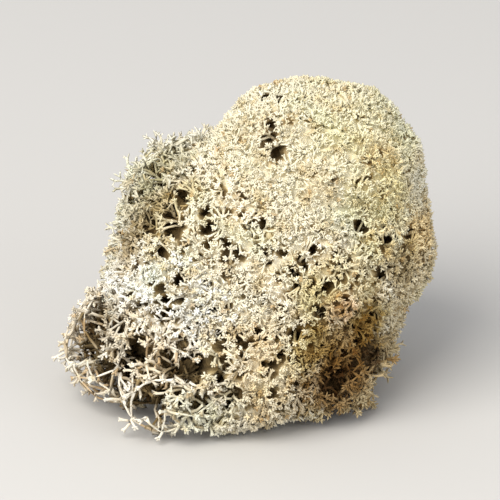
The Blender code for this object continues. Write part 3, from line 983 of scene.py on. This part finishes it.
# Colour patches: middle and radius in mm, and the colour that multiplies the lichen's there. Most are
# the lichen's own tints; the rows marked below are painted shade, and one is painted light.
PATCHES = [
    ((24, -7, 61), 13, (0.99, 0.985, 0.89)),
    ((27, -10, 55), 7, (1.05, 1.02, 1.03)),
    ((28, -14, 48), 9, (1.0, 0.96, 0.82)),
    ((14, -28, 32), 7, (0.85, 0.79, 0.62)),
    # Painted shade, with some real brown: darker on the right side below the dome.
    ((30, -14, 34), 6, (0.66, 0.60, 0.46)),
    ((22, -24, 36), 9, (0.93, 0.90, 0.77)),
    ((1, -31, 18), 11, (0.96, 0.93, 0.88)),
    ((-5, -32, 15), 6, (0.90, 0.88, 0.88)),
    ((8, -28, 36), 6, (1.06, 1.05, 1.07)),
    # Painted shade, with some real brown: the recess at the lower right, where the clump meets the one
    # in front.
    ((20, -24, 18), 13, (0.56, 0.43, 0.26)),
    ((19, -27, 29), 5, (1.2, 1.1, 1.22)),
    ((25, -22, 29), 5, (0.90, 0.83, 0.70)),
    ((12, -27, 20), 7, (0.82, 0.76, 0.50)),
    ((26, -21, 22), 8, (0.80, 0.74, 0.48)),
    # Painted shade, with some real brown: lower in the same recess.
    ((18, -25, 12), 9, (0.70, 0.62, 0.52)),
    # Painted light: lighter on the right edge, where the side turns away into shade.
    ((35, -8, 38), 7, (1.1, 1.02, 0.85)),
    # Painted shade, with a real olive tint: the next six rows darken the left side and the shoulder,
    # as in a neighbour's shadow.
    ((-18, 1, 47), 8, (0.82, 0.81, 0.73)),
    ((-14, -11, 48), 5, (0.84, 0.82, 0.68)),
    ((-18, -13, 42), 7, (0.80, 0.76, 0.63)),
    ((-19, -5, 40), 8, (0.64, 0.60, 0.49)),
    ((-24, -6, 34), 8, (0.60, 0.54, 0.43)),
    ((-23, -12, 36), 5, (0.72, 0.66, 0.54)),
    ((-22, -21, 27), 8, (1.05, 1.06, 1.09)),
    ((-31, -16, 21), 8, (0.64, 0.59, 0.50)),
    # Painted shade, with some real old growth: darker at the bottom of the lower left, near the
    # ground.
    ((-28, -14, 2), 10, (0.80, 0.74, 0.66)),
]

# Mottling all over: the scale of its noise, the noise where it starts and is full, and its colour.
MOTTLES = [
    (75.0, 0.5, 0.66, (0.97, 0.92, 0.83)),
    (60.0, 0.5, 0.34, (0.94, 0.97, 0.90)),
    (300.0, 0.52, 0.68, (0.86, 0.79, 0.66)),
]
TAN_TINTS = (-1.0, -0.9)  # of the odd twig
TAN = (0.84, 0.70, 0.53)  # and what multiplies its colour
TINT_SHADES = (0.88, 1.1)  # of a branch, by its tint
SPECKS = (0.86, 1.08)  # darkest and lightest
NOISE_SPAN = (0.3, 0.7)  # where most of a noise's values lie
WANDER = 1.5  # mm, how far the age at which a colour shows wanders
RAGGED = 0.35  # how far a patch's edge wanders, in its radii
PATCH_EDGE = (0.5, 1.1)  # where a patch starts to fade and is gone, in its radii

# Noise scales, finer as they rise.
WANDER_SCALE = 130.0
RAGGED_SCALE = 220.0
SPECK_SCALE = 2600.0
GRAIN_SCALE = 3500.0


def linked(tree, kind, inputs, **settings):
    """A new node with its settings and inputs; an input is a value or another node's socket."""
    node = tree.nodes.new(kind)
    for name, value in settings.items():
        setattr(node, name, value)
    for name, value in inputs.items():
        if isinstance(value, bpy.types.NodeSocket):
            tree.links.new(value, node.inputs[name])
        else:
            node.inputs[name].default_value = value
    return node


def ranged(tree, value, low, high, to_low, to_high):
    """The value, mapped from low..high on to_low..to_high and held at its ends."""
    inputs = {
        "Value": value,
        "From Min": low,
        "From Max": high,
        "To Min": to_low,
        "To Max": to_high,
    }
    return linked(tree, "ShaderNodeMapRange", inputs).outputs["Result"]


def noise_at(tree, place, scale, detail):
    inputs = {"Vector": place, "Scale": scale, "Detail": detail}
    return linked(tree, "ShaderNodeTexNoise", inputs).outputs["Fac"]


def math_node(tree, operation, one, other):
    return linked(tree, "ShaderNodeMath", {0: one, 1: other}, operation=operation).outputs[0]


def multiplied_by(tree, colour, share, multiplier):
    """The colour, multiplied by another as far as the share says."""
    mixed = linked(tree, "ShaderNodeMix", {}, data_type="RGBA", blend_type="MULTIPLY")
    tree.links.new(share, mixed.inputs["Factor"])
    tree.links.new(colour, mixed.inputs[6])
    mixed.inputs[7].default_value = (*multiplier, 1)
    return mixed.outputs[2]


def patched(tree, place, colour):
    """The colour, with the patches' ragged shapes multiplied in: tints, painted shade and painted
    light.
    """
    ragged = ranged(tree, noise_at(tree, place, RAGGED_SCALE, 3.0), *NOISE_SPAN, -RAGGED, RAGGED)
    for middle, radius, multiplier in PATCHES:
        inputs = {0: place, 1: tuple(Vector(middle) * MM)}
        away = linked(tree, "ShaderNodeVectorMath", inputs, operation="DISTANCE")
        shares = math_node(tree, "MULTIPLY", away.outputs["Value"], 1 / (radius * MM))
        inside = ranged(tree, math_node(tree, "ADD", shares, ragged), *PATCH_EDGE, 1.0, 0.0)
        colour = multiplied_by(tree, colour, inside, multiplier)
    return colour


def point_value(tree, name):
    return linked(tree, "ShaderNodeAttribute", {}, attribute_name=name).outputs["Fac"]


def aged_colour(tree, place, look):
    """The colour of a look at the growth's age, which wanders a little. Where the age was raised in
    creases, pits and pores, the browner colour is painted shade.
    """
    wander = ranged(tree, noise_at(tree, place, WANDER_SCALE, 3.0), *NOISE_SPAN, -WANDER, WANDER)
    aged = math_node(tree, "ADD", point_value(tree, "growth"), wander)
    share = ranged(tree, aged, 0.0, AGES[-1], 0.0, 1.0)
    ramp = linked(tree, "ShaderNodeValToRGB", {"Fac": share})
    colours = [*LOOKS[look], DEAD_BROWN]
    elements = ramp.color_ramp.elements
    while len(elements) < len(colours):
        elements.new(0.5)
    for element, age, colour in zip(elements, AGES, colours):
        element.position = age / AGES[-1]
        element.color = (*colour, 1)
    return ramp.outputs["Color"]


def lichen(name, look):
    """Dry lichen: pale at the young tips, browner with age, mottled, and finely granular."""
    made = bpy.data.materials.new(name)
    made.use_nodes = True
    tree = made.node_tree
    shader = tree.nodes["Principled BSDF"]
    place = tree.nodes.new("ShaderNodeTexCoord").outputs["Object"]
    tint = point_value(tree, "tint")
    colour = patched(tree, place, aged_colour(tree, place, look))
    for scale, low, high, multiplier in MOTTLES:
        share = ranged(tree, noise_at(tree, place, scale, 2.0), low, high, 0.0, 1.0)
        colour = multiplied_by(tree, colour, share, multiplier)
    colour = multiplied_by(tree, colour, ranged(tree, tint, *TAN_TINTS, 1.0, 0.0), TAN)
    specks = ranged(tree, noise_at(tree, place, SPECK_SCALE, 2.0), *NOISE_SPAN, *SPECKS)
    shade = math_node(tree, "MULTIPLY", specks, ranged(tree, tint, -1.0, 1.0, *TINT_SHADES))
    inputs = {0: colour, "Scale": shade}
    colour = linked(tree, "ShaderNodeVectorMath", inputs, operation="SCALE").outputs["Vector"]
    tree.links.new(colour, shader.inputs["Base Color"])
    grain = noise_at(tree, place, GRAIN_SCALE, 3.0)
    inputs = {"Height": grain, "Strength": 0.5, "Distance": 0.08 * MM}
    bump = linked(tree, "ShaderNodeBump", inputs)
    tree.links.new(bump.outputs["Normal"], shader.inputs["Normal"])
    shader.inputs["Roughness"].default_value = 0.92
    shader.inputs["Specular IOR Level"].default_value = 0.2
    return made


def floor():
    """A plain pale floor."""
    mesh = bpy.data.meshes.new("floor")
    corners = [(-3, -3, 0), (3, -3, 0), (3, 3, 0), (-3, 3, 0)]
    mesh.from_pydata(corners, [], [(0, 1, 2, 3)])
    paint = bpy.data.materials.new("floor")
    paint.use_nodes = True
    shader = paint.node_tree.nodes["Principled BSDF"]
    shader.inputs["Base Color"].default_value = (0.55, 0.54, 0.52, 1)
    shader.inputs["Roughness"].default_value = 0.9
    mesh.materials.append(paint)
    placed("floor", mesh)


def aim(made, place, way):
    """Puts a light or camera at a place, so that it looks this way."""
    made.location = place
    made.rotation_mode = "QUATERNION"
    made.rotation_quaternion = way.to_track_quat("-Z", "Y")


def soft_light(name, place, size, power, colour):
    light = bpy.data.lights.new(name, "AREA")
    light.size = size
    light.energy = power
    light.color = colour
    aim(placed(name, light), place, CAMERA_TARGET - place)


def lights():
    soft_light("key", Vector((-0.5, -0.6, 0.9)), 0.9, 18.4, (1.0, 0.97, 0.92))
    soft_light("fill", Vector((0.8, -0.7, 0.5)), 0.8, 3, (0.95, 0.97, 1.0))
    world = bpy.data.worlds.new("studio")
    bpy.context.scene.world = world
    world.use_nodes = True
    background = world.node_tree.nodes["Background"]
    background.inputs["Color"].default_value = (0.95, 0.96, 1.0, 1)
    background.inputs["Strength"].default_value = 0.6


def camera():
    """The photograph's angle: the front, from a little above, and far off."""
    data = bpy.data.cameras.new("camera")
    data.lens = data.sensor_width / 2 * CAMERA_DISTANCE / HALF_VIEW
    data.clip_start = 0.05
    data.clip_end = 20
    made = placed("camera", data)
    aim(made, CAMERA_TARGET + TO_CAMERA * CAMERA_DISTANCE, -TO_CAMERA)
    bpy.context.scene.camera = made


def stands_for(pieces, node, slot, look):
    for piece in pieces:
        piece.data.materials.append(look)
        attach(piece, "root")
        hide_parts(node)


def main():
    crowns = [in_metres(crown) for crown in CROWNS]
    slots = {row["node"]: row["material_slot"] for row in frame["record"]["subparts"]}
    looks = {look: lichen("lichen_" + look, look) for look in LOOKS}
    for number, crown in enumerate(crowns):
        stands_for(podetium(number, crowns), crown.name, slots[crown.name], looks[crown.look])
    stands_for([mat(), dead_stems(crowns)], "old_base", slots["old_base"], looks["tan"])
    floor()
    lights()
    camera()
    bpy.context.scene.view_settings.view_transform = "Standard"


main()
